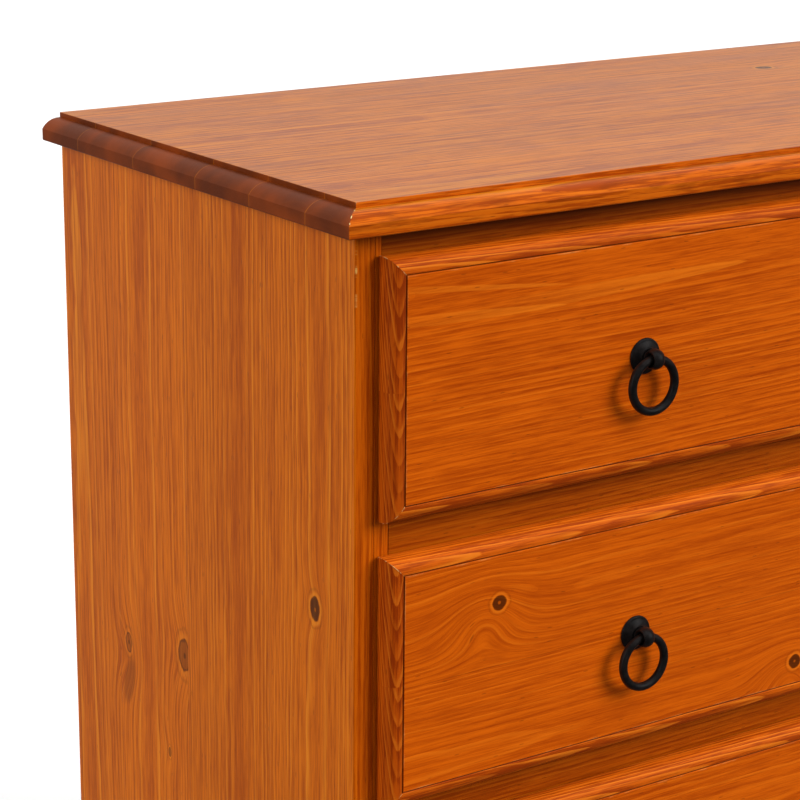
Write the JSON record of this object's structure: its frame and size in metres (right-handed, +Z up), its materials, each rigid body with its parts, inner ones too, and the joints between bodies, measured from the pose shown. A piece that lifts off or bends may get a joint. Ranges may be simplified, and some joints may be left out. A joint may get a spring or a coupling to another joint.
{
  "type": "chest of drawers",
  "caption": "Wide chest with stacked drawers in stained pine: overhanging moulded top, panel sides, mitred half-round mouldings round each drawer front, and black iron ring pulls.",
  "frame": {"origin": "on the floor, at the bottom centre of the bounding box", "axes": "+Z up; the drawers open towards -Y; a viewer facing the front, looking along +Y, has +X on the right"},
  "size_m": [0.92, 0.4683, 0.94],
  "materials": {
    "stained_pine": "satin lacquer over an orange-brown stain",
    "raw_pine": "sanded, unfinished",
    "plywood": "thin sanded plywood",
    "black_iron": "satin black, slightly uneven",
    "plated_steel": "bright zinc plating",
    "glide_plastic": "matte brown"
  },
  "bodies": {
    "carcass": {"top_board": "stained_pine", "side_left": "stained_pine", "side_right": "stained_pine", "stile_left": "stained_pine", "stile_right": "stained_pine", "top_rail": "stained_pine", "mid_rail_1": "stained_pine", "mid_rail_2": "stained_pine", "mid_rail_3": "stained_pine", "plinth_rail": "stained_pine", "back_panel": "plywood", "back_rails": "raw_pine", "drawer_runners": "raw_pine", "top_cleats": "raw_pine", "top_screws": "plated_steel", "foot_glides": "glide_plastic"},
    "drawer_1": {"drawer_1_front": "stained_pine", "drawer_1_moulding": "stained_pine", "drawer_1_side_left": "raw_pine", "drawer_1_side_right": "raw_pine", "drawer_1_box_front": "raw_pine", "drawer_1_box_back": "raw_pine", "drawer_1_bottom": "plywood", "drawer_1_pull_posts": "black_iron", "drawer_1_screws": "plated_steel"},
    "drawer_2": {"drawer_2_front": "stained_pine", "drawer_2_moulding": "stained_pine", "drawer_2_side_left": "raw_pine", "drawer_2_side_right": "raw_pine", "drawer_2_box_front": "raw_pine", "drawer_2_box_back": "raw_pine", "drawer_2_bottom": "plywood", "drawer_2_pull_posts": "black_iron", "drawer_2_screws": "plated_steel"},
    "drawer_3": {"drawer_3_front": "stained_pine", "drawer_3_moulding": "stained_pine", "drawer_3_side_left": "raw_pine", "drawer_3_side_right": "raw_pine", "drawer_3_box_front": "raw_pine", "drawer_3_box_back": "raw_pine", "drawer_3_bottom": "plywood", "drawer_3_pull_posts": "black_iron", "drawer_3_screws": "plated_steel"},
    "drawer_4": {"drawer_4_front": "stained_pine", "drawer_4_moulding": "stained_pine", "drawer_4_side_left": "raw_pine", "drawer_4_side_right": "raw_pine", "drawer_4_box_front": "raw_pine", "drawer_4_box_back": "raw_pine", "drawer_4_bottom": "plywood", "drawer_4_pull_posts": "black_iron", "drawer_4_screws": "plated_steel"},
    "drawer_1_ring_left": {"drawer_1_ring_left": "black_iron"},
    "drawer_1_ring_right": {"drawer_1_ring_right": "black_iron"},
    "drawer_2_ring_left": {"drawer_2_ring_left": "black_iron"},
    "drawer_2_ring_right": {"drawer_2_ring_right": "black_iron"},
    "drawer_3_ring_left": {"drawer_3_ring_left": "black_iron"},
    "drawer_3_ring_right": {"drawer_3_ring_right": "black_iron"},
    "drawer_4_ring_left": {"drawer_4_ring_left": "black_iron"},
    "drawer_4_ring_right": {"drawer_4_ring_right": "black_iron"}
  },
  "joints": [
    {"name": "drawer_1_slide", "type": "slide", "parent": "carcass", "child": "drawer_1", "axis": [0, -1, 0], "range_m": [0, 0.3]},
    {"name": "drawer_2_slide", "type": "slide", "parent": "carcass", "child": "drawer_2", "axis": [0, -1, 0], "range_m": [0, 0.3]},
    {"name": "drawer_3_slide", "type": "slide", "parent": "carcass", "child": "drawer_3", "axis": [0, -1, 0], "range_m": [0, 0.3]},
    {"name": "drawer_4_slide", "type": "slide", "parent": "carcass", "child": "drawer_4", "axis": [0, -1, 0], "range_m": [0, 0.3]},
    {"name": "drawer_1_ring_left_swing", "type": "hinge", "parent": "drawer_1", "child": "drawer_1_ring_left", "pos_m": [-0.201, -0.22635, 0.8025], "axis": [-1, 0, 0], "range_deg": [-10, 150]},
    {"name": "drawer_1_ring_right_swing", "type": "hinge", "parent": "drawer_1", "child": "drawer_1_ring_right", "pos_m": [0.201, -0.22635, 0.8025], "axis": [-1, 0, 0], "range_deg": [-10, 150]},
    {"name": "drawer_2_ring_left_swing", "type": "hinge", "parent": "drawer_2", "child": "drawer_2_ring_left", "pos_m": [-0.201, -0.22635, 0.5865], "axis": [-1, 0, 0], "range_deg": [-10, 150]},
    {"name": "drawer_2_ring_right_swing", "type": "hinge", "parent": "drawer_2", "child": "drawer_2_ring_right", "pos_m": [0.201, -0.22635, 0.5865], "axis": [-1, 0, 0], "range_deg": [-10, 150]},
    {"name": "drawer_3_ring_left_swing", "type": "hinge", "parent": "drawer_3", "child": "drawer_3_ring_left", "pos_m": [-0.201, -0.22635, 0.3705], "axis": [-1, 0, 0], "range_deg": [-10, 150]},
    {"name": "drawer_3_ring_right_swing", "type": "hinge", "parent": "drawer_3", "child": "drawer_3_ring_right", "pos_m": [0.201, -0.22635, 0.3705], "axis": [-1, 0, 0], "range_deg": [-10, 150]},
    {"name": "drawer_4_ring_left_swing", "type": "hinge", "parent": "drawer_4", "child": "drawer_4_ring_left", "pos_m": [-0.201, -0.22635, 0.1545], "axis": [-1, 0, 0], "range_deg": [-10, 150]},
    {"name": "drawer_4_ring_right_swing", "type": "hinge", "parent": "drawer_4", "child": "drawer_4_ring_right", "pos_m": [0.201, -0.22635, 0.1545], "axis": [-1, 0, 0], "range_deg": [-10, 150]}
  ]
}
